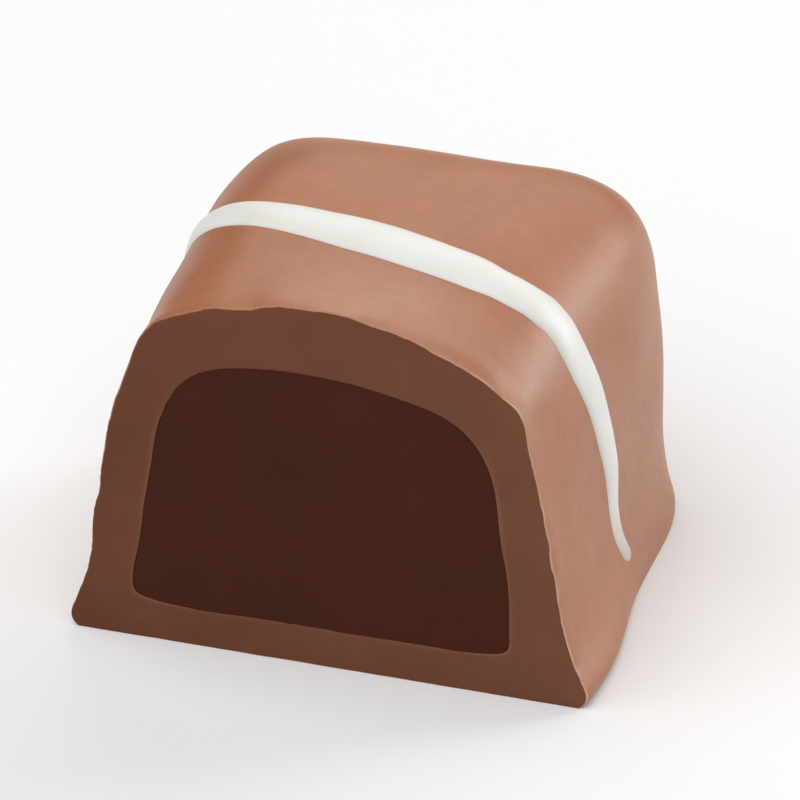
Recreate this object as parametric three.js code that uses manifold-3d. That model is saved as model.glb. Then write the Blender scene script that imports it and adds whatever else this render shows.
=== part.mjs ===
// A chocolate truffle cut across: a centre of dark ganache inside a thick coat of milk chocolate, with one
// stripe of white chocolate drizzled over the top and down both sides.
// Millimetres, +Z up. The truffle rests on its flat base at z = 0, and the cut face looks along -Y.
import * as THREE from "three";
import { mergeVertices, toCreasedNormals } from "three/addons/utils/BufferGeometryUtils.js";
import Module from "manifold-3d";

const wasm = await Module();
wasm.setup();

// Coat and centre are soft blocks. Their section changes evenly from the one at the cut to the one at the
// back, and the far end is rounded too. A squareness is the exponent of a superellipse: 2 gives an ellipse,
// and a larger number gives a boxier form. A section's height counts from the block's widest level.
// Round the cut the knife left bumps and hollows. Each has its angle round the section, counted in degrees
// from the right, its height, and its half width in degrees. A wide one runs farther back than a narrow one.
const COAT = {
  widestLevel: 0,
  length: 22.7,
  cut: { halfWidth: 11.9, height: 19.9, squareness: 3.45 },
  back: { halfWidth: 12.2, height: 20.5, squareness: 5.8 },
  endSquareness: 7.7,
  bumps: [
    [47, -0.25, 11],
    [57.5, 0.47, 2.8],
    [72, -0.62, 10],
    [93, 0.22, 8.3],
    [102.5, -0.35, 3.9],
    [117.5, 0.4, 4.1],
    [151.5, 0.19, 6.5],
  ],
  facets: { across: 34, along: 17, up: 23, under: 0 },
  crowding: { along: 1.3, up: 1.5 }, // above 1, facets are smaller near the cut or near the base
};
const GANACHE = {
  widestLevel: 3.48,
  length: 20,
  cut: { halfWidth: 9.65, height: 12.9, squareness: 3.35 },
  back: { halfWidth: 9.7, height: 13.4, squareness: 4.6 },
  endSquareness: 6,
  underside: { depth: 1.38, squareness: 6 },
  bumps: [
    [32, -0.37, 12],
    [71.5, -0.39, 12.5],
    [121, 0.28, 9],
    [145, -0.26, 9.5],
    [182, 0.54, 13],
  ],
  facets: { across: 16, along: 11, up: 9, under: 3 },
  crowding: { along: 1, up: 1 },
};
const BUMP_FADE = 0.4; // how far back a bump dies away, in millimetres for each degree of its half width
const FIT_GAP = 0.3; // clear space between two pieces

// Only the coat has a foot, where the chocolate ran out over the tray before it set, and a swelling skin.
const FOOT_REACH = 2.7; // how far it would stand out at the base if its rim weren't rounded under
const FOOT_FADE = 2.85; // the height over which it dies away
const LIP_TUCK = 0.55; // the share of the reach that the rounded rim takes back at the base
const LIP_HEIGHT = 0.5;
const LEAN_REACH = 0.3; // how far the lower wall leans out
const LEAN_FADE = 4;
const FOOT_WANE = 0.9; // how much of the foot is missing where it is smallest
const FOOT_FULL = 2; // how far behind the cut it is at its widest
const FOOT_WAVE = 4.4; // the length of one radian of that change
const FOOT_SKEW = 0.06; // turns that change, across the truffle
const SWELL = 0.006; // slow waves over the skin, as a share of the distance from the middle
const RIM_POWER = 8; // keeps foot and bumps at the rim of a flat face, away from its middle

// The white stripe. Each point of its run is a place on the skin, the distance behind the cut and the
// stripe's width there. The place is -2 at the left foot, -1 and 1 at the shoulders and 2 at the right foot.
const STRIPE_RUN = new THREE.CatmullRomCurve3([
  new THREE.Vector3(-1.9, 14.75, 1.2),
  new THREE.Vector3(-1.45, 13.5, 2.15),
  new THREE.Vector3(-1.2, 12.15, 2.4),
  new THREE.Vector3(-1, 10.8, 2.35),
  new THREE.Vector3(-0.75, 9.95, 2.35),
  new THREE.Vector3(-0.4, 9.05, 2.75),
  new THREE.Vector3(0, 8.05, 2.9),
  new THREE.Vector3(0.4, 6.85, 2.8),
  new THREE.Vector3(0.65, 6.5, 2.55),
  new THREE.Vector3(0.9, 6.8, 2.6),
  new THREE.Vector3(1.15, 7.15, 2.55),
  new THREE.Vector3(1.38, 8.3, 2.4),
  new THREE.Vector3(1.54, 9, 2),
  new THREE.Vector3(1.68, 9.3, 1.6),
  new THREE.Vector3(1.78, 9.95, 1.5),
  new THREE.Vector3(1.88, 11.2, 1.4),
]);
const STRIPE_PROUD = 0.34; // above the skin, along the middle of the stripe
const STRIPE_EDGE = 0.08; // above the skin, at its edges
const STRIPE_SUNK = 0.3; // below the skin
const STRIPE_ROUNDING = 2.5; // exponent of its crown
const TIP_WIDTH = 0.25; // at each end, as a share of the stripe's width
const TIP_SHARPNESS = 40; // how short the rounded ends are
const STRIPE_PASSES = 6; // how many steps bring a point of the run to its distance behind the cut
const STRIPE_FACETS = { along: 64, across: 5 };

const OVERRUN = 1; // how far a cutting form passes the surface that it cuts
const CREASE = THREE.MathUtils.degToRad(35);

const mix = THREE.MathUtils.lerp;
const snap = (value) => Math.round(value * 1e6) / 1e6;

// Slow waves in space, from -1 to 1, that make the skin swell and sink.
function waves({ x, y, z }) {
  const broad = Math.sin(0.33 * x + 0.21 * y + 1.1) * Math.sin(0.29 * z - 0.24 * y + 0.4);
  const small = Math.sin(0.71 * y - 0.42 * x + 2.3) * Math.sin(0.58 * z + 0.47 * x + 0.9);
  return 0.6 * broad + 0.4 * small;
}

// The bumps and hollows round the cut, as a share of a point's distance from the middle.
function bumpAt({ bumps }, point) {
  const angle = THREE.MathUtils.euclideanModulo(THREE.MathUtils.radToDeg(Math.atan2(point.z, point.x)), 360);
  let height = 0;
  for (const [middle, rise, halfWidth] of bumps) {
    const round = Math.exp(-(((angle - middle) / halfWidth) ** 2));
    height += rise * round * Math.exp(-point.y / (BUMP_FADE * halfWidth));
  }
  return height / Math.max(Math.hypot(point.x, point.z), OVERRUN);
}

// How far the foot stands out at a point of the wall.
function footReach(point) {
  const turn = (point.y - FOOT_FULL) / FOOT_WAVE + FOOT_SKEW * (COAT.cut.halfWidth - point.x);
  const share = 1 - (FOOT_WANE * (1 - Math.cos(turn))) / 2;
  const foot = Math.exp(-point.z / FOOT_FADE) - LIP_TUCK * Math.exp(-point.z / LIP_HEIGHT);
  return FOOT_REACH * share * foot + LEAN_REACH * Math.exp(-point.z / LEAN_FADE);
}

// Takes a point of a unit block to the real form. The block has x from -1 to 1, y from 0 at the cut to 1,
// and z from 0 at the widest level to 1 at the top, or to -1 at the bottom.
function formPoint(form, x, y, z) {
  const upper = z >= 0;
  const squareness = upper ? mix(form.cut.squareness, form.back.squareness, y) : form.underside.squareness;
  const height = upper ? mix(form.cut.height, form.back.height, y) : form.underside.depth;
  const halfWidth = mix(form.cut.halfWidth, form.back.halfWidth, y);
  const end = form.endSquareness;
  const section = (Math.abs(x) ** squareness + Math.abs(z) ** squareness) ** (1 / squareness);
  const round = (section ** end + y ** end) ** (1 / end);
  const blunt = Math.max(Math.abs(x), y, Math.abs(z));
  const pull = round > 0 ? blunt / round : 1;
  const point = new THREE.Vector3(x * halfWidth, y * form.length, z * height).multiplyScalar(pull);

  if (form === COAT) {
    const rim = Math.max(Math.abs(x), y) ** RIM_POWER;
    const outward = new THREE.Vector2(Math.sign(x) * Math.abs(x) ** (end - 1), y ** (end - 1));
    outward.normalize().multiplyScalar(footReach(point) * rim);
    const swell = 1 + SWELL * waves(point);
    point.x = point.x * swell + outward.x;
    point.y += outward.y;
    point.z *= swell;
  }
  const growth = 1 + bumpAt(form, point) * blunt ** RIM_POWER;
  point.x *= growth;
  point.z = form.widestLevel + point.z * growth;
  return point;
}

function blockGeometry(form) {
  const { across, along, up, under } = form.facets;
  const geometry = new THREE.BoxGeometry(2, 1, 1, across, along, up + under);
  const corners = geometry.getAttribute("position");
  for (let i = 0; i < corners.count; i += 1) {
    const x = snap(corners.getX(i));
    const y = snap(corners.getY(i) + 0.5) ** form.crowding.along;
    const row = Math.round((corners.getZ(i) + 0.5) * (up + under)) - under;
    const z = row < 0 ? row / under : (row / up) ** form.crowding.up;
    const point = formPoint(form, x, y, z);
    corners.setXYZ(i, point.x, point.y, point.z);
  }
  return geometry;
}

// The hollow that the ganache fills: its form with a gap all round, run out through the cut face.
function pocketGeometry() {
  const wider = (section) => ({
    ...section,
    halfWidth: section.halfWidth + FIT_GAP,
    height: section.height + FIT_GAP,
  });
  const geometry = blockGeometry({
    ...GANACHE,
    length: GANACHE.length + FIT_GAP,
    cut: wider(GANACHE.cut),
    back: wider(GANACHE.back),
    underside: { ...GANACHE.underside, depth: GANACHE.underside.depth + FIT_GAP },
  });
  const corners = geometry.getAttribute("position");
  for (let i = 0; i < corners.count; i += 1) {
    if (corners.getY(i) <= 0) corners.setY(i, -OVERRUN);
  }
  return geometry;
}

// A point of the coat's skin, by its place round the section and its distance behind the cut. The rounding
// of the far end draws points forwards, so the point of the block that ends up there is found step by step.
function skinPoint(place, behind) {
  const x = THREE.MathUtils.clamp(place, -1, 1);
  const z = Math.min(2 - Math.abs(place), 1);
  const end = COAT.endSquareness;
  const share = behind / COAT.length;
  let y = share;
  for (let pass = 0; pass < STRIPE_PASSES; pass += 1) {
    const squareness = mix(COAT.cut.squareness, COAT.back.squareness, y);
    const section = (Math.abs(x) ** squareness + z ** squareness) ** (1 / squareness);
    y = (share * section) / (1 - share ** end) ** (1 / end);
  }
  return formPoint(COAT, x, y, z);
}

function skinNormal(place, behind) {
  const step = 0.02;
  const round = skinPoint(place + step, behind).sub(skinPoint(place - step, behind));
  const along = skinPoint(place, behind + step).sub(skinPoint(place, behind - step));
  return round.cross(along).normalize();
}

// The stripe, which follows the skin from foot to foot and is rooted a little below it.
function stripeGeometry() {
  const { along, across } = STRIPE_FACETS;
  const geometry = new THREE.BoxGeometry(2, 2, 1, along, across, 1);
  const corners = geometry.getAttribute("position");
  for (let i = 0; i < corners.count; i += 1) {
    const run = snap(corners.getX(i));
    const side = snap(corners.getY(i));
    const middle = STRIPE_RUN.getPoint((run + 1) / 2);
    const atTip = Math.abs(run) ** TIP_SHARPNESS;
    const tip = mix(TIP_WIDTH, 1, Math.sqrt(1 - atTip));
    const behind = middle.y + (side * middle.z * tip) / 2;
    const crown = mix(STRIPE_EDGE, STRIPE_PROUD, (1 - Math.abs(side) ** STRIPE_ROUNDING) * tip);
    const height = corners.getZ(i) > 0 ? crown : -STRIPE_SUNK;
    const point = skinPoint(middle.x, behind).addScaledVector(skinNormal(middle.x, behind), height);
    corners.setXYZ(i, point.x, point.y, point.z);
  }
  return geometry;
}

function solidOf(geometry) {
  geometry.deleteAttribute("normal");
  geometry.deleteAttribute("uv");
  const merged = mergeVertices(geometry, 1e-4);
  return new wasm.Manifold(
    new wasm.Mesh({
      numProp: 3,
      vertProperties: merged.getAttribute("position").array,
      triVerts: Uint32Array.from(merged.index.array),
    }),
  );
}

function meshOf(name, solid, material) {
  const { vertProperties, triVerts } = solid.getMesh();
  const geometry = new THREE.BufferGeometry();
  geometry.setAttribute("position", new THREE.BufferAttribute(vertProperties, 3));
  geometry.setIndex(new THREE.BufferAttribute(triVerts, 1));
  const mesh = new THREE.Mesh(toCreasedNormals(geometry, CREASE), material);
  mesh.name = name;
  return mesh;
}

const milkChocolate = new THREE.MeshStandardMaterial({ color: 0x9c6a50, roughness: 0.42, metalness: 0 });
const darkGanache = new THREE.MeshStandardMaterial({ color: 0x472519, roughness: 0.6, metalness: 0 });

const block = solidOf(blockGeometry(COAT));
const coat = block.subtract(solidOf(pocketGeometry())).add(solidOf(stripeGeometry()));

const truffle = new THREE.Group();
truffle.add(
  meshOf("milk_chocolate_coat", coat, milkChocolate),
  meshOf("dark_ganache_centre", solidOf(blockGeometry(GANACHE)), darkGanache),
);

// The origin is the middle of the bounding box, on the base.
const middle = new THREE.Box3().setFromObject(truffle).getCenter(new THREE.Vector3());
truffle.position.set(-middle.x, -middle.y, 0);

export default truffle;
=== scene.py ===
# A chocolate truffle cut across, made in the order in which a chocolatier makes it: the ganache centre, the
# milk chocolate that it is dipped in, the white stripe drizzled over that, and last the table and the light.
# Lengths are in millimetres and are turned into metres as each mesh is made.
import math

import bpy
import numpy as np
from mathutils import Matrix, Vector, noise


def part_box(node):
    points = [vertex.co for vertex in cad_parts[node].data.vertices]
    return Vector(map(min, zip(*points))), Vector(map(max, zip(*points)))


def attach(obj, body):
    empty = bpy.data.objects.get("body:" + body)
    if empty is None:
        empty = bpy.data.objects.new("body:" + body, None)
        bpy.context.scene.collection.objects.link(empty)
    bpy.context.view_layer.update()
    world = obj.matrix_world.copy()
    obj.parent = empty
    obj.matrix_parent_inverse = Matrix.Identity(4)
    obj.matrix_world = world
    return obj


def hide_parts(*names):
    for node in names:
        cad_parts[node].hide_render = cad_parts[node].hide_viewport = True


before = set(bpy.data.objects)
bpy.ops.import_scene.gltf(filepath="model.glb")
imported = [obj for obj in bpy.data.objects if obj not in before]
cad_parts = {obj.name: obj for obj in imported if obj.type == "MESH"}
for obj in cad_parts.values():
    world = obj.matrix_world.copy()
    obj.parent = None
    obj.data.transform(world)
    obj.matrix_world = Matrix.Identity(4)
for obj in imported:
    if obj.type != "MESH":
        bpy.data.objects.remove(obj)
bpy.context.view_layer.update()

# The centre. A bar of dark ganache, firm enough to slice, with corners that softened as it was handled. It
# runs from the cut face to just inside the closed end, and the set coat holds it. The knife pressed its cut
# face smooth and left faint drag marks down it.
MM = 0.001
GANACHE = {
    "widest_level": 3.48,
    "length": 20,
    "cut": {"half_width": 9.67, "height": 12.92, "squareness": 3.35},
    "back": {"half_width": 9.72, "height": 13.42, "squareness": 4.6},
    "end_squareness": 6,
    "underside": {"depth": 1.4, "squareness": 6},
    # round the cut: each bump's angle from the right in degrees, its height, and its half width in degrees
    "bumps": [(32, -0.37, 12), (71.5, -0.39, 12.5), (121, 0.28, 9), (145, -0.26, 9.5), (182, 0.54, 13)],
}
BUMP_FADE = 0.4  # how far back a bump dies away, for each degree of its half width
RIM_POWER = 8  # keeps bumps and foot at the rim of a flat face
NEAR_NOTHING = 1e-9
BASE_STEPS, WALL_STEPS, TOP_STEPS = 36, 130, 84  # facets along half the base, one wall and half the top
LOW_SHARE, LOW_CROWDING = 0.12, 1.25  # a wall's facets below the widest level; how they crowd at a foot
FACE_STEPS, BAR_STEPS, BAR_END_STEPS = 44, 12, 8  # rings on the cut face, along the bar and on its far end
GANACHE_SET_BACK = 0.05  # the softer centre sinks a little behind the coat's cut face
DRAG_DEPTH = 0.035  # how far the knife's drag marks go into a cut face
DRAG_SLANT = 0.22  # how far the knife leaned to one side as it came down
BROAD_DRAG, FINE_DRAG = (2.6, 1, 7), (0.45, 1, 5)  # the sizes of its marks along X, Y and Z
BROAD_SHARE, FINE_SHARE = 0.6, 0.35  # how much each kind of mark counts
GANACHE_BROWNS = [  # from the darkest clouds to the palest: place in the variation, colour
    (0.3, (0.0545, 0.0122, 0.0034)),
    (0.52, (0.059, 0.0134, 0.0039)),
    (0.72, (0.0645, 0.0148, 0.0046)),
]
GANACHE_ROUGHNESS, GANACHE_SHINE = (0.5, 0.62), 0.12


def smooth(value, low, high):
    """0 below low, 1 above high and an even curve between them."""
    share = np.clip((value - low) / (high - low), 0, 1)
    return share * share * (3 - 2 * share)


def soft_block(form, x, y, z):
    """Takes points of a unit block to a chocolate's real form. The block has x from -1 to 1, y from 0 at the
    cut to 1 at the far end, and z from 0 at the widest level to 1 at the top, or to -1 at the bottom."""
    x, y, z = np.broadcast_arrays(*(np.asarray(v, float) for v in (x, y, z)))
    upper = z >= 0
    cut, back, under = form["cut"], form["back"], form.get("underside", {"depth": 1, "squareness": 2})
    change = {k: cut[k] + (back[k] - cut[k]) * y for k in cut}
    squareness = np.where(upper, change["squareness"], under["squareness"])
    tall = np.where(upper, change["height"], under["depth"])
    end = form["end_squareness"]
    section = (np.abs(x) ** squareness + np.abs(z) ** squareness) ** (1 / squareness)
    blunt = np.maximum(np.maximum(np.abs(x), y), np.abs(z))
    pull = blunt / np.maximum((section**end + y**end) ** (1 / end), NEAR_NOTHING)
    px, py, pz = x * change["half_width"] * pull, y * form["length"] * pull, z * tall * pull
    if "foot" in form:
        reach = form["foot"](px, py, pz) * np.maximum(np.abs(x), y) ** RIM_POWER
        out_x, out_y = np.sign(x) * np.abs(x) ** (end - 1), y ** (end - 1)
        scale = reach / np.maximum(np.hypot(out_x, out_y), NEAR_NOTHING)
        fuller = 1 + form["swell"](px, py, pz)
        px, py, pz = px * fuller + scale * out_x, py + scale * out_y, pz * fuller
    angle = np.degrees(np.arctan2(pz, px)) % 360
    rise = sum(
        high * np.exp(-(((angle - middle) / half) ** 2) - py / (BUMP_FADE * half))
        for middle, high, half in form["bumps"]
    )
    growth = 1 + rise / np.maximum(np.hypot(px, pz), 1) * blunt**RIM_POWER
    return np.stack([px * growth, py, form["widest_level"] + pz * growth], -1)


def outline(lowest):
    """Walks round the edge of a block's section, as the cut is seen: from the middle of the base to the
    right, up the right wall, over the top and down the left wall. Facets crowd towards the foot."""
    base = np.arange(BASE_STEPS) / BASE_STEPS
    climb = np.arange(WALL_STEPS) / WALL_STEPS
    wall = np.interp(climb, [0, LOW_SHARE, 1], [-1, 0, 1]) if lowest < 0 else climb**LOW_CROWDING
    top = 1 - np.arange(2 * TOP_STEPS) / TOP_STEPS
    descent = np.append(1, wall[:0:-1])
    one = np.ones(WALL_STEPS)
    x = np.concatenate([base, one, top, -one, base - 1])
    z = np.concatenate([0 * base + lowest, wall, 0 * top + 1, descent, 0 * base + lowest])
    return x, z


def grain(points, size, seed):
    """Smooth random heights from -1 to 1, one for each point. The size of the lumps is along X, Y and Z."""
    shift = Vector((seed, seed * 1.7, seed * 2.3))
    return np.array([noise.noise(Vector(p) + shift) for p in np.asarray(points, float) / size])


def knife_marks(points, seed):
    """How far a knife that came down, slanting a little, scored a cut face: from 0 to 1."""
    x, z = points[:, 0] + DRAG_SLANT * points[:, 2], points[:, 2]
    slanted = np.stack([x, 0 * x, z], 1)
    broad = grain(slanted, BROAD_DRAG, seed)
    lines = grain(slanted, FINE_DRAG, seed + 3)
    return np.clip(0.5 + BROAD_SHARE * broad + FINE_SHARE * lines, 0, 1)


def loft(name, rings, finishes, band_finish):
    """A closed skin through rings of points, from the first to the last, which are one point each.
    band_finish gives the number of the finish between each ring and the next."""
    around = len(rings[1])
    tips = [np.atleast_2d(ring)[:1] for ring in (rings[0], rings[-1])]
    points = np.concatenate([tips[0], *rings[1:-1], tips[1]])
    last = len(points) - 1
    here = np.arange(around)
    after = (here + 1) % around
    faces, slots = [], []
    for band in range(len(rings) - 1):
        low = 1 + (band - 1) * around
        high = low + around
        if band == 0:
            strip = np.stack([0 * here, 1 + here, 1 + after], 1)
        elif band == len(rings) - 2:
            strip = np.stack([low + after, low + here, 0 * here + last], 1)
        else:
            strip = np.stack([low + after, low + here, high + here, high + after], 1)
        faces += strip.tolist()
        slots += [band_finish[band]] * around
    mesh = bpy.data.meshes.new(name)
    mesh.from_pydata((points * MM).tolist(), [], faces)
    for finish in finishes:
        mesh.materials.append(finish)
    mesh.polygons.foreach_set("material_index", slots)
    mesh.polygons.foreach_set("use_smooth", [True] * len(faces))
    mesh.update()
    piece = bpy.data.objects.new(name, mesh)
    bpy.context.scene.collection.objects.link(piece)
    return piece


def ring_at(form, x, y, z):
    """Points of a block's form, where the truffle stands in the frame."""
    return soft_block(form, x, y, z) + set_down


def finish(name):
    """A new material with its shader, and a way to add nodes to it."""
    material = bpy.data.materials.new(name)
    material.use_nodes = True
    tree = material.node_tree
    shader = tree.nodes["Principled BSDF"]

    def add(kind, links=(), **values):
        node = tree.nodes.new("ShaderNode" + kind)
        for key, value in values.items():
            if hasattr(node, key):
                setattr(node, key, value)
            else:
                node.inputs[key].default_value = value
        for socket, source in links:
            tree.links.new(source, node.inputs[socket])
        return node

    return material, tree, shader, add


def speckle(add, place, size_mm, detail=2.0, roughness=0.5, stretch=(1, 1, 1)):
    """Cloudy variation from 0 to 1 with lumps of the given size in millimetres."""
    scaled = add("Mapping", [("Vector", place)], Scale=[s / (size_mm * MM) for s in stretch])
    noisy = add("TexNoise", [("Vector", scaled.outputs[0])], Scale=1.0, Detail=detail, Roughness=roughness)
    return noisy.outputs[0]


def between(add, share, colours):
    """A colour ramp through the given colours at the given places."""
    ramp = add("ValToRGB", [("Fac", share)])
    stops = ramp.color_ramp.elements
    while len(stops) < len(colours):
        stops.new(0.5)
    for stop, (position, colour) in zip(stops, colours):
        stop.position = position
        stop.color = (*colour, 1)
    return ramp.outputs[0]


def spread(add, share, low, high):
    """Turns a variation from 0 to 1 into one from low to high."""
    return add("MapRange", [("Value", share)], **{"To Min": low, "To Max": high}).outputs[0]


dark_ganache, tree, shader, add = finish("dark ganache")
place = add("TexCoord").outputs["Object"]
cloud = speckle(add, place, size_mm=5, detail=3)
fine = speckle(add, place, size_mm=0.35, detail=3)
drag = speckle(add, place, size_mm=0.22, detail=2, stretch=(1, 1, 0.06))
tree.links.new(between(add, cloud, GANACHE_BROWNS), shader.inputs["Base Color"])
tree.links.new(spread(add, fine, *GANACHE_ROUGHNESS), shader.inputs["Roughness"])
shader.inputs["Specular IOR Level"].default_value = GANACHE_SHINE
score = add("Bump", [("Height", drag)], Strength=0.35, Distance=0.012 * MM)
pores = add("Bump", [("Height", fine), ("Normal", score.outputs[0])], Strength=0.4, Distance=0.012 * MM)
tree.links.new(pores.outputs[0], shader.inputs["Normal"])

low, high = (np.array(corner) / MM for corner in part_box("dark_ganache_centre"))
square_x, square_z = outline(-1)
bare = soft_block(GANACHE, square_x, 0, square_z)
set_down = np.array([(low[0] + high[0] - bare[:, 0].min() - bare[:, 0].max()) / 2, low[1], 0])

rings = [ring_at(GANACHE, 0, 0, 0)]
for share in np.arange(1, FACE_STEPS + 1) / FACE_STEPS:
    rings.append(ring_at(GANACHE, square_x * share, 0, square_z * share))
for ring in rings:
    sunk = GANACHE_SET_BACK + DRAG_DEPTH * knife_marks(np.atleast_2d(ring), seed=11)
    ring[..., 1] += sunk if ring.ndim > 1 else sunk[0]
for share in np.arange(1, BAR_STEPS + 1) / BAR_STEPS:
    rings.append(ring_at(GANACHE, square_x, share, square_z))
for share in 1 - np.arange(1, BAR_END_STEPS + 1) / BAR_END_STEPS:
    rings.append(ring_at(GANACHE, square_x * share, 1, square_z * share))
ganache_centre = loft("ganache_centre", rings, [dark_ganache], [0] * (len(rings) - 1))
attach(ganache_centre, "root")
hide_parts("dark_ganache_centre")

# The coat. Milk chocolate that the centre was dipped in: satin where it set in air, with a pale cloud of
# painted sheen on the top, and run out into a small foot on the tray. The knife went through it with the
# centre. The cut is matt and chipped along the brittle skin. Its browns are darker than the skin's, partly
# as painted shade. It is painted paler towards the right, as if lit from there, and painted highlights run
# beside the centre and down its right outer edge.
COAT = {
    "widest_level": 0,
    "length": 22.67,
    "cut": {"half_width": 11.9, "height": 19.9, "squareness": 3.45},
    "back": {"half_width": 12.2, "height": 20.5, "squareness": 5.8},
    "end_squareness": 7.7,
    "bumps": [
        (47, -0.25, 11),
        (57.5, 0.47, 2.8),
        (72, -0.62, 10),
        (93, 0.22, 8.3),
        (102.5, -0.35, 3.9),
        (117.5, 0.4, 4.1),
        (151.5, 0.19, 6.5),
    ],
}
FOOT_REACH, FOOT_FADE = 2.62, 2.85  # how far the foot stands out at the base, and where it dies away above
LIP_TUCK, LIP_HEIGHT = 0.55, 0.5  # the share of it that the rounded rim takes back
LEAN_REACH, LEAN_FADE = 0.3, 4  # the lower wall leans out a little
FOOT_WANE = 0.9  # how much of the foot is missing where it is smallest
FOOT_FULL, FOOT_WAVE, FOOT_SKEW = 2, 4.4, 0.06  # where it is widest, and how that changes along and across
SWELL = 0.006  # slow waves over the skin, as a share of the distance from the middle
DIMPLE_DEPTH, DIMPLE_SIZE = 0.13, (5.2, 5.8, 5)
FLOW_DEPTH, FLOW_SIZE = 0.016, (1.7, 2.1, 1.7)
SKIN_SUNK = 0.06  # dimples and flow marks lie this much below the form, so that they stay inside it
OVER_FOOT, BEHIND_CUT = (0.3, 2.5), (0.2, 1.8)  # the levels and the distances over which they set in
EVEN_RINGS = 4  # the rings nearest to the cut have none
EDGE, EDGE_TURNS = 0.08, (30, 60)  # the skin turns into the cut over this much, by these angles, in degrees
EDGE_CHANGE = (1.6, 1, 1.6)  # in places it turns over twice as much; the size of such places
CHIP_DEPTH, CHIP_REACH = 0.12, 0.4  # how deep the brittle skin chipped along the cut, and how far back
BITE_SIZE, CRUMB_SIZE = (1.7, 1, 1.5), (0.42, 1, 0.42)
BITE_SHARE, CRUMB_SHARE = 0.7, 0.3  # how much each kind of chip counts
CHIPS_FROM = (0.3, 1.2)  # the levels over which chipping sets in
INNER_HIGHLIGHT_WIDTH = 0.2  # a painted highlight this wide in the coat's cut, beside the centre, strongest at its sides
EDGE_HIGHLIGHT_REACH, EDGE_HIGHLIGHT_PATCH = 0.1, (1.1, 1, 1.1)  # and a painted highlight, about this wide, on the right of the outer edge; the size of its patches
EDGE_HIGHLIGHT_FACING = (0.1, 0.75)  # how far the edge has to face to the right, towards the light, for the painted highlight to set in
DIP_REACH = 0.12  # the cut face dips to the sunken centre over this much
POCKET_SNUG = 0.04  # the coat grips the centre by this much, so no gap shows between them
SKIN_STEPS, END_STEPS, CUT_STEPS = 108, 36, 22  # rings along the skin, on the far end and over the cut
CROWDING = 1.3  # above 1, rings crowd towards the centre on the cut and towards the cut on the skin
END_MIDDLE = 0.45  # the level at which the rings of the far end close, as a share of its height
SET_SKIN, CUT_FACE = 0, 1  # the numbers of the coat's two finishes
SKIN_BROWNS = [
    (0.3, (0.355, 0.127, 0.053)),
    (0.5, (0.38, 0.138, 0.0585)),
    (0.7, (0.405, 0.152, 0.067)),
]
# the cut's browns: darker than the skin's, partly the matt cut's own tone and partly painted shade on the
# upright cut
CUT_BROWNS_AND_SHADE = [
    (0.3, (0.136, 0.0445, 0.020)),
    (0.5, (0.149, 0.0497, 0.0228)),
    (0.7, (0.162, 0.0557, 0.0262)),
]
FLECK_COLOUR, FLECK_MOST = (0.47, 0.205, 0.105), 0.32  # a colour, and how far the brown may turn to it
FLECK_RANGE = (0.35, 0.7)  # where in the variation they set in and are full
# painted sheen: the pale colour the top's brown turns to where a sheen should show, and by how much
PAINTED_SHEEN_COLOUR, PAINTED_SHEEN_MOST = (0.52, 0.335, 0.26), 0.48
PAINTED_SHEEN_MIDDLE, PAINTED_SHEEN_SIZE = (3.5, -10.5, 18.5), (13.5, 8, 7.5)  # painted sheen: a pale cloud on the top, its middle and its size
PAINTED_SHEEN_PATCHES = (0.5, 1.4)  # the painted sheen is thinner and thicker in patches
# the painted highlight's colour down the right outer edge of the cut, and how far the skin turns to it
EDGE_HIGHLIGHT_COLOUR, EDGE_HIGHLIGHT_MOST = (0.8, 0.55, 0.42), 0.75
# the painted highlight's colour beside the centre, and how far the cut's brown turns to it
INNER_HIGHLIGHT_COLOUR, INNER_HIGHLIGHT_MOST = (0.26, 0.118, 0.066), 0.55
PAINTED_LIGHT_COLOUR, PAINTED_LIGHT_MOST = (0.235, 0.098, 0.055), 0.3  # painted light: the cut turns paler from left to right, as if lit from the right
PAINTED_LIGHT_FROM, PAINTED_LIGHT_TO = -12, 13
SKIN_ROUGHNESS, SKIN_SHINE = (0.36, 0.46), 0.46
CUT_ROUGHNESS, CUT_SHINE = (0.6, 0.75), 0.2
MIX_SHARE, MIX_FIRST, MIX_SECOND, MIX_RESULT = 0, 6, 7, 2  # a Mix node's sockets when it mixes colours


def foot(x, y, z):
    """How far the foot and the leaning lower wall stand out at points of the coat."""
    turn = (y - FOOT_FULL) / FOOT_WAVE + FOOT_SKEW * (COAT["cut"]["half_width"] - x)
    share = 1 - FOOT_WANE * (1 - np.cos(turn)) / 2
    reach = np.exp(-z / FOOT_FADE) - LIP_TUCK * np.exp(-z / LIP_HEIGHT)
    return FOOT_REACH * share * reach + LEAN_REACH * np.exp(-z / LEAN_FADE)


def swell(x, y, z):
    """Slow waves in space that make the skin swell and sink."""
    broad = np.sin(0.33 * x + 0.21 * y + 1.1) * np.sin(0.29 * z - 0.24 * y + 0.4)
    small = np.sin(0.71 * y - 0.42 * x + 2.3) * np.sin(0.58 * z + 0.47 * x + 0.9)
    return SWELL * (0.6 * broad + 0.4 * small)


def skin_relief(points):
    """The set skin's soft dimples and flow marks. They die away towards the foot and towards the cut."""
    local = points - set_down
    depth = DIMPLE_DEPTH * grain(local, DIMPLE_SIZE, seed=5) + FLOW_DEPTH * grain(local, FLOW_SIZE, seed=8)
    return (depth - SKIN_SUNK) * smooth(local[:, 2], *OVER_FOOT) * smooth(local[:, 1], *BEHIND_CUT)


def chips(points):
    """How far the skin broke away at points of the cut's edge, in shallow bites and small crumbs."""
    local = (points - set_down) * (1, 0, 1)
    bites = smooth(grain(local, BITE_SIZE, seed=17), -0.1, 0.45)
    crumbs = smooth(grain(local, CRUMB_SIZE, seed=31), 0, 0.6)
    return CHIP_DEPTH * (BITE_SHARE * bites + CRUMB_SHARE * crumbs) * smooth(local[:, 2], *CHIPS_FROM)


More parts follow.
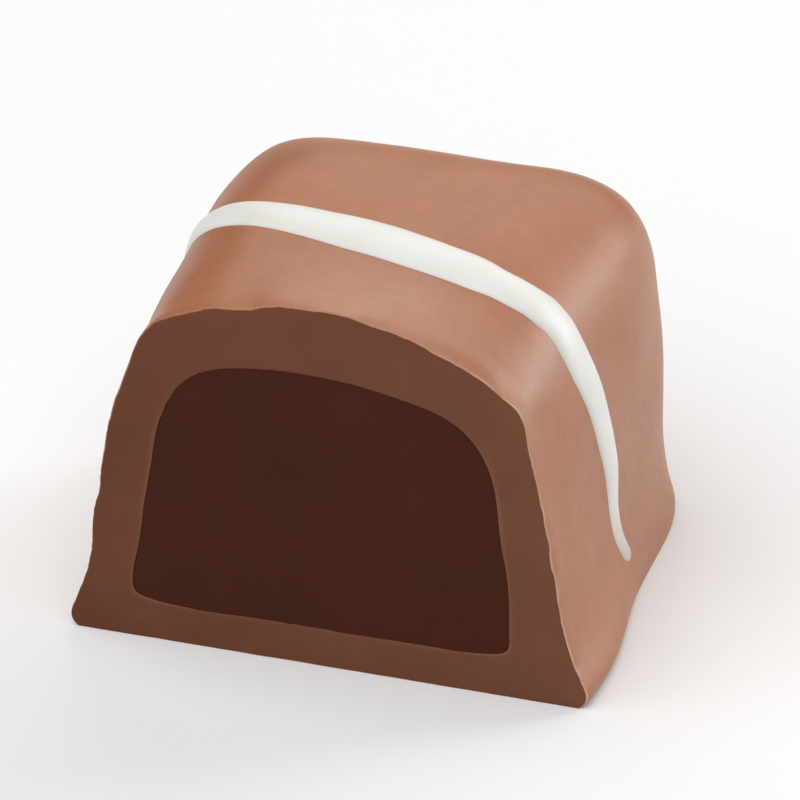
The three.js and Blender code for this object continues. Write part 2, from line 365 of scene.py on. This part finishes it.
def tint(add, share, colour, toward, most):
    """Turns a colour toward another one, by up to the given share where the variation is 1."""
    mix = add("Mix", [(MIX_SHARE, spread(add, share, 0, most)), (MIX_FIRST, colour)], data_type="RGBA")
    mix.inputs[MIX_SECOND].default_value = (*toward, 1)
    return mix.outputs[MIX_RESULT]


def setting_in(add, value, start, full):
    """A share that is 0 at the start value, 1 at the full value and even between them."""
    return add("MapRange", [("Value", value)], **{"From Min": start, "From Max": full}).outputs[0]


def readings(items, name):
    """Three numbers for each point of a mesh, such as its place or its outward direction."""
    numbers = np.zeros(len(items) * 3)
    items.foreach_get(name, numbers)
    return numbers.reshape(-1, 3)


COAT["foot"], COAT["swell"] = foot, swell

milk_skin, tree, shader, add = finish("milk chocolate, set skin")
place = add("TexCoord").outputs["Object"]
cloud = speckle(add, place, size_mm=4.5, detail=3)
peel = speckle(add, place, size_mm=0.55, detail=2)
fine = speckle(add, place, size_mm=0.12, detail=2)
flecks = setting_in(add, speckle(add, place, size_mm=0.9, detail=4, roughness=0.65), *FLECK_RANGE)
flecked = tint(add, flecks, between(add, cloud, SKIN_BROWNS), FLECK_COLOUR, FLECK_MOST)
# Painted sheen: a pale, patchy cloud on the top, where a sheen should show.
middle, reach = Vector(PAINTED_SHEEN_MIDDLE) * MM, Vector(PAINTED_SHEEN_SIZE) * MM
painted_sheen_at = add("Mapping", [("Vector", place)], vector_type="TEXTURE", Location=middle, Scale=reach)
painted_sheen = add("TexGradient", [("Vector", painted_sheen_at.outputs[0])], gradient_type="QUADRATIC_SPHERE")
patches = spread(add, speckle(add, place, size_mm=2.2, detail=3), *PAINTED_SHEEN_PATCHES)
patchy = add("Math", [(0, painted_sheen.outputs[1]), (1, patches)], operation="MULTIPLY").outputs[0]
sheen_painted = tint(add, patchy, flecked, PAINTED_SHEEN_COLOUR, PAINTED_SHEEN_MOST)
# Painted highlight along the right outer edge of the cut.
edge_highlight_there = add("Attribute", attribute_name="painted edge light").outputs["Fac"]
tree.links.new(tint(add, edge_highlight_there, sheen_painted, EDGE_HIGHLIGHT_COLOUR, EDGE_HIGHLIGHT_MOST), shader.inputs["Base Color"])
tree.links.new(spread(add, cloud, *SKIN_ROUGHNESS), shader.inputs["Roughness"])
shader.inputs["Specular IOR Level"].default_value = SKIN_SHINE
shader.inputs["Subsurface Weight"].default_value = 0.12
shader.inputs["Subsurface Radius"].default_value = (1.0, 0.4, 0.2)
shader.inputs["Subsurface Scale"].default_value = 0.5 * MM
dimples = add("Bump", [("Height", peel)], Strength=0.45, Distance=0.03 * MM)
dust = add("Bump", [("Height", fine), ("Normal", dimples.outputs[0])], Strength=0.4, Distance=0.008 * MM)
tree.links.new(dust.outputs[0], shader.inputs["Normal"])

milk_cut, tree, shader, add = finish("milk chocolate, cut")
place = add("TexCoord").outputs["Object"]
cloud = speckle(add, place, size_mm=3.5, detail=3)
drag = speckle(add, place, size_mm=0.2, detail=2, stretch=(1, 1, 0.08))
fine = speckle(add, place, size_mm=0.16, detail=3)
# Painted light: the cut turns paler towards the right.
sideways = add("SeparateXYZ", [("Vector", place)]).outputs["X"]
to_right = setting_in(add, sideways, PAINTED_LIGHT_FROM * MM, PAINTED_LIGHT_TO * MM)
paler = tint(add, to_right, between(add, cloud, CUT_BROWNS_AND_SHADE), PAINTED_LIGHT_COLOUR, PAINTED_LIGHT_MOST)
# Painted highlight beside the centre.
inner_highlight_there = add("Attribute", attribute_name="painted edge light").outputs["Fac"]
tree.links.new(tint(add, inner_highlight_there, paler, INNER_HIGHLIGHT_COLOUR, INNER_HIGHLIGHT_MOST), shader.inputs["Base Color"])
tree.links.new(spread(add, fine, *CUT_ROUGHNESS), shader.inputs["Roughness"])
shader.inputs["Specular IOR Level"].default_value = CUT_SHINE
score = add("Bump", [("Height", drag)], Strength=0.5, Distance=0.02 * MM)
crumb = add("Bump", [("Height", fine), ("Normal", score.outputs[0])], Strength=0.45, Distance=0.018 * MM)
tree.links.new(crumb.outputs[0], shader.inputs["Normal"])

# The pocket round the centre, from its far end to the cut.
pocket = dict(GANACHE, length=GANACHE["length"] - POCKET_SNUG)
for key in ("cut", "back"):
    pocket[key] = dict(GANACHE[key], half_width=GANACHE[key]["half_width"] - POCKET_SNUG)
    pocket[key]["height"] -= POCKET_SNUG
pocket["underside"] = dict(GANACHE["underside"], depth=GANACHE["underside"]["depth"] - POCKET_SNUG)
rings = [ring_at(pocket, 0, 1, 0)]
for share in np.arange(1, BAR_END_STEPS + 1) / BAR_END_STEPS:
    rings.append(ring_at(pocket, square_x * share, 1, square_z * share))
for share in 1 - np.arange(1, BAR_STEPS) / BAR_STEPS:
    rings.append(ring_at(pocket, square_x, share, square_z))
bands = [CUT_FACE] * len(rings)

# The cut face, from the pocket out to the skin.
inner = ring_at(pocket, square_x, 0, square_z)
skin_x, skin_z = outline(0)
outer = ring_at(COAT, skin_x, 0, skin_z)
outward = outer - inner
outward /= np.linalg.norm(outward, axis=1)[:, None]
chip = chips(outer)[:, None]
edge = EDGE * (1 + smooth(grain(outer, EDGE_CHANGE, seed=41), -0.1, 0.5))[:, None]
face_outer = outer - outward * (chip + edge)
cut_start = 1 + (len(rings) - 1) * len(skin_x)
# Painted highlights: beside the centre on the cut, then down the right of the outer edge onto the skin.
painted_edge_light = []
for share in (np.arange(0, CUT_STEPS + 1) / CUT_STEPS) ** CROWDING:
    ring = inner + (face_outer - inner) * share
    beside = np.linalg.norm(ring - inner, axis=1)
    painted_edge_light += (np.exp(-((beside / INNER_HIGHLIGHT_WIDTH) ** 2)) * outward[:, 0] ** 2).tolist()
    dip = GANACHE_SET_BACK * (1 - smooth(beside, 0, DIP_REACH))
    ring[:, 1] += DRAG_DEPTH * knife_marks(ring, seed=23) + dip
    rings.append(ring)
    bands.append(CUT_FACE)

# The chipped edge, and the skin from there to the far end.
cut_depth = rings[-1][:, 1] - set_down[1]
# The painted highlight down the edge, where it faces right, towards the light, stronger and weaker in
# patches.
edge_highlight = smooth(outward[:, 0], *EDGE_HIGHLIGHT_FACING) * np.clip(0.7 + 0.5 * grain(outer, EDGE_HIGHLIGHT_PATCH, seed=53), 0, 1)
relief_start = 1 + (len(rings) - 1 + EVEN_RINGS) * len(skin_x)
for turn in np.radians(EDGE_TURNS):
    ring = face_outer + outward * edge * math.sin(turn)
    ring[:, 1] += cut_depth + edge[:, 0] * (1 - math.cos(turn))
    rings.append(ring)
    bands.append(SET_SKIN)
    painted_edge_light += edge_highlight.tolist()
for share in (np.arange(0, SKIN_STEPS + 1) / SKIN_STEPS) ** CROWDING:
    behind = edge[:, 0] / COAT["length"] * (1 - share) + share
    back_mm = behind * COAT["length"]
    ring = ring_at(COAT, skin_x, behind, skin_z)
    rings.append(ring - outward * chip * np.exp(-((back_mm[:, None] / CHIP_REACH) ** 2)))
    bands.append(SET_SKIN)
    painted_edge_light += (edge_highlight * np.exp(-((back_mm / EDGE_HIGHLIGHT_REACH) ** 2))).tolist()
for share in 1 - np.arange(1, END_STEPS + 1) / END_STEPS:
    rings.append(ring_at(COAT, skin_x * share, 1, END_MIDDLE + (skin_z - END_MIDDLE) * share))
    bands.append(SET_SKIN)
bands.pop()
milk_coat = loft("milk_chocolate_shell", rings, [milk_skin, milk_cut], bands)

# The skin's relief, and where the painted highlights lie.
mesh = milk_coat.data
spots = readings(mesh.vertices, "co") / MM
away = readings(mesh.vertex_normals, "vector")
spots[relief_start:] += away[relief_start:] * skin_relief(spots[relief_start:])[:, None]
mesh.vertices.foreach_set("co", (spots * MM).ravel())
rim = np.zeros(len(mesh.vertices))
rim[cut_start : cut_start + len(painted_edge_light)] = painted_edge_light
mesh.attributes.new("painted edge light", "FLOAT", "POINT").data.foreach_set("value", rim)
mesh.update()
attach(milk_coat, "root")
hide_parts("milk_chocolate_coat")

# The stripe. White chocolate drizzled from a spoon over the set coat, which it sticks to. It is a low, round
# bead that runs slantwise over the top and down both sides, and thins to a brownish smear at the right foot.
STRIPE_RUN = [
    # place on the skin (-2 left foot, -1 and 1 shoulders, 2 right foot), distance behind the cut, width
    (-1.9, 14.75, 1.2),
    (-1.45, 13.5, 2.15),
    (-1.2, 12.15, 2.4),
    (-1, 10.8, 2.35),
    (-0.75, 9.95, 2.35),
    (-0.4, 9.1, 2.8),
    (0, 8.15, 3.15),
    (0.4, 7, 3),
    (0.65, 6.55, 2.45),
    (0.9, 6.85, 2.5),
    (1.15, 7.15, 2.55),
    (1.38, 8.3, 2.4),
    (1.54, 9, 2),
    (1.68, 9.3, 1.6),
    (1.78, 9.95, 1.5),
    (1.88, 11.2, 1.4),
]
STRIPE_PROUD = 0.3  # height of the bead above the skin
STRIPE_ROOT = 0.12  # how far it sits into the skin
CROWN = 0.75  # exponent of the bead's rounding: below 1, a flatter crown
TIP_LENGTH, TIP_WIDTH = 0.02, 0.12  # each rounded end, as shares of the whole run and of the width
WANDER, WANDER_WAVES = 0.05, 30  # how much the width wavers, and how often along the run
SMEAR, SMEAR_FROM, SMEAR_TO = 0.6, 1.55, 1.8  # the share of its height that it loses, between these places
RUN_STEPS, BEAD_STEPS = 420, 22
DISTANCE_PASSES = 6  # steps that bring a point to its distance behind the cut
NEARBY = 0.01  # how far apart the points lie that give the skin's direction
WHITES = [(0.3, (0.77, 0.755, 0.70)), (0.7, (0.80, 0.79, 0.745))]
TAIL_COLOUR, TAIL_MOST = (0.5, 0.34, 0.25), 0.6
TAIL_FROM, TAIL_TO = 6.8, 2.8  # the levels between which the tail turns brownish
WHITE_ROUGHNESS = (0.34, 0.46)


def through(stations, share):
    """A smooth line through the stations, at a share of the way from the first to the last."""
    stations = np.array(stations)
    stations = np.vstack([2 * stations[0] - stations[1], stations, 2 * stations[-1] - stations[-2]])
    along = share * (len(stations) - 3)
    i = np.minimum(along.astype(int), len(stations) - 4)
    t = (along - i)[:, None]
    a, b, c, d = (stations[i + k] for k in range(4))
    return 0.5 * (2 * b + (c - a) * t + (2 * a - 5 * b + 4 * c - d) * t**2 + (3 * b - a - 3 * c + d) * t**3)


def on_skin(where, behind):
    """The coat's skin at a place round its section and a distance behind the cut. The far end's rounding
    draws points forwards, so the point of the block that ends up there is found step by step."""
    x, z = np.clip(where, -1, 1), np.minimum(2 - np.abs(where), 1)
    end, share = COAT["end_squareness"], behind / COAT["length"]
    y = share
    for _ in range(DISTANCE_PASSES):
        squareness = COAT["cut"]["squareness"] * (1 - y) + COAT["back"]["squareness"] * y
        section = (np.abs(x) ** squareness + z**squareness) ** (1 / squareness)
        y = share * section / (1 - share**end) ** (1 / end)
    return ring_at(COAT, x, y, z)


white_drizzle, tree, shader, add = finish("white chocolate")
place = add("TexCoord").outputs["Object"]
cloud = speckle(add, place, size_mm=3, detail=2)
fine = speckle(add, place, size_mm=0.4, detail=2)
level = add("SeparateXYZ", [("Vector", place)]).outputs["Z"]
low_down = setting_in(add, level, TAIL_FROM * MM, TAIL_TO * MM)
whites = between(add, cloud, WHITES)
tree.links.new(tint(add, low_down, whites, TAIL_COLOUR, TAIL_MOST), shader.inputs["Base Color"])
tree.links.new(spread(add, cloud, *WHITE_ROUGHNESS), shader.inputs["Roughness"])
shader.inputs["Subsurface Weight"].default_value = 0.2
shader.inputs["Subsurface Radius"].default_value = (1.0, 0.8, 0.6)
shader.inputs["Subsurface Scale"].default_value = 0.5 * MM
ripples = add("Bump", [("Height", fine)], Strength=0.2, Distance=0.02 * MM)
tree.links.new(ripples.outputs[0], shader.inputs["Normal"])

share = np.linspace(0, 1, RUN_STEPS)
run = through(STRIPE_RUN, share)
ends = np.minimum(share, 1 - share) / TIP_LENGTH
tip = np.sqrt(1 - (1 - np.clip(ends, 0, 1)) ** 2)
wander = grain(np.stack([WANDER_WAVES * share, 0 * share, 0 * share], 1), (1, 1, 1), seed=4)
half = run[:, 2] / 2 * (TIP_WIDTH + (1 - TIP_WIDTH) * tip) * (1 + WANDER * wander)
smear = 1 - SMEAR * smooth(np.abs(run[:, 0]), SMEAR_FROM, SMEAR_TO)
tallest = STRIPE_PROUD * np.sqrt(half / half.max()) * tip * smear
beads = []
for turn in 2 * math.pi * np.arange(BEAD_STEPS) / BEAD_STEPS:
    rise = max(math.sin(turn), 0)
    lift = tallest * rise**CROWN - STRIPE_ROOT * (1 - rise)
    behind = run[:, 1] + math.cos(turn) * half
    base = on_skin(run[:, 0], behind)
    round_way = on_skin(run[:, 0] + NEARBY, behind) - on_skin(run[:, 0] - NEARBY, behind)
    back_way = on_skin(run[:, 0], behind + NEARBY) - on_skin(run[:, 0], behind - NEARBY)
    normal = np.cross(round_way, back_way)
    normal /= np.linalg.norm(normal, axis=1)[:, None]
    beads.append(base + normal * (lift + skin_relief(base))[:, None])
beads = np.stack(beads, 1)
rings = [beads[0].mean(0)] + list(beads[:, ::-1]) + [beads[-1].mean(0)]
stripe = loft("white_stripe", rings, [white_drizzle], [0] * (len(rings) - 1))
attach(stripe, "root")
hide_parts("milk_chocolate_coat")

# The table and the light. The truffle rests on a pale matt table, in a dim, pale room. One soft panel hangs
# overhead, one stands behind, and a small bright one behind on the right draws the pale streaks on that
# shoulder. The camera stands where the truffle's own cut face, base and outline put it.
TABLE_HALF, TABLE_PALE = 4, (0.88, 0.88, 0.88, 1)  # half its side in metres, and its colour
ROOM_GLOW = 0.03
CAMERA_TURN, CAMERA_RISE, CAMERA_FAR = 18.98, 29.83, 450  # degrees to the right and up, millimetres away
CAMERA_LIFT, AIM_AT = 0.5, (0, 11.88, 9.1)  # raised by this; the place it looks at, from the cut's foot
VIEW_WIDE, FILM_WIDE = 40, 36  # millimetres across the picture at the truffle, and across the film
SEEN_FROM, SEEN_TO = 0.01, 20  # metres from the camera

corners = [(-1, -1), (1, -1), (1, 1), (-1, 1)]
table_mesh = bpy.data.meshes.new("table")
table_mesh.from_pydata([(x * TABLE_HALF, y * TABLE_HALF, 0) for x, y in corners], [], [(0, 1, 2, 3)])
table = bpy.data.objects.new("table", table_mesh)
bpy.context.scene.collection.objects.link(table)
pale, tree, shader, add = finish("pale table")
shader.inputs["Base Color"].default_value = TABLE_PALE
shader.inputs["Roughness"].default_value = 0.9
shader.inputs["Specular IOR Level"].default_value = 0.1
table_mesh.materials.append(pale)

world = bpy.data.worlds.new("room")
bpy.context.scene.world = world
world.use_nodes = True
world.node_tree.nodes["Background"].inputs["Color"].default_value = (1, 1, 1, 1)
world.node_tree.nodes["Background"].inputs["Strength"].default_value = ROOM_GLOW


def soft_light(name, place, wide, tall, radiance):
    """A white panel of the given size in metres that glows evenly towards the truffle."""
    lamp = bpy.data.lights.new(name, "AREA")
    lamp.shape = "RECTANGLE"
    lamp.size, lamp.size_y = wide, tall
    lamp.energy = math.pi * wide * tall * radiance
    panel = bpy.data.objects.new(name, lamp)
    panel.location = place
    panel.rotation_euler = (-Vector(place)).to_track_quat("-Z", "Y").to_euler()
    bpy.context.scene.collection.objects.link(panel)


soft_light("overhead", (-0.18, -0.5, 1.2), wide=2.6, tall=2.0, radiance=1.88)
soft_light("behind", (0.02, 0.76, 0.48), wide=1.0, tall=0.45, radiance=1.75)
soft_light("behind right, low", (0.62, 0.58, 0.24), wide=0.32, tall=0.46, radiance=7.6)

turn, rise = math.radians(CAMERA_TURN), math.radians(CAMERA_RISE)
towards = np.array([math.sin(turn) * math.cos(rise), -math.cos(turn) * math.cos(rise), math.sin(rise)])
lens = bpy.data.cameras.new("camera")
lens.sensor_width = FILM_WIDE
lens.lens = FILM_WIDE * CAMERA_FAR / VIEW_WIDE
lens.clip_start, lens.clip_end = SEEN_FROM, SEEN_TO
camera = bpy.data.objects.new("camera", lens)
stand = (set_down + (0, 0, CAMERA_LIFT) + CAMERA_FAR * towards) * MM
camera.location = stand
aim = Vector((set_down + AIM_AT) * MM)
camera.rotation_euler = (aim - Vector(stand)).to_track_quat("-Z", "Y").to_euler()
bpy.context.scene.collection.objects.link(camera)
bpy.context.scene.camera = camera
bpy.context.scene.view_settings.view_transform = "Standard"

bpy.context.view_layer.update()
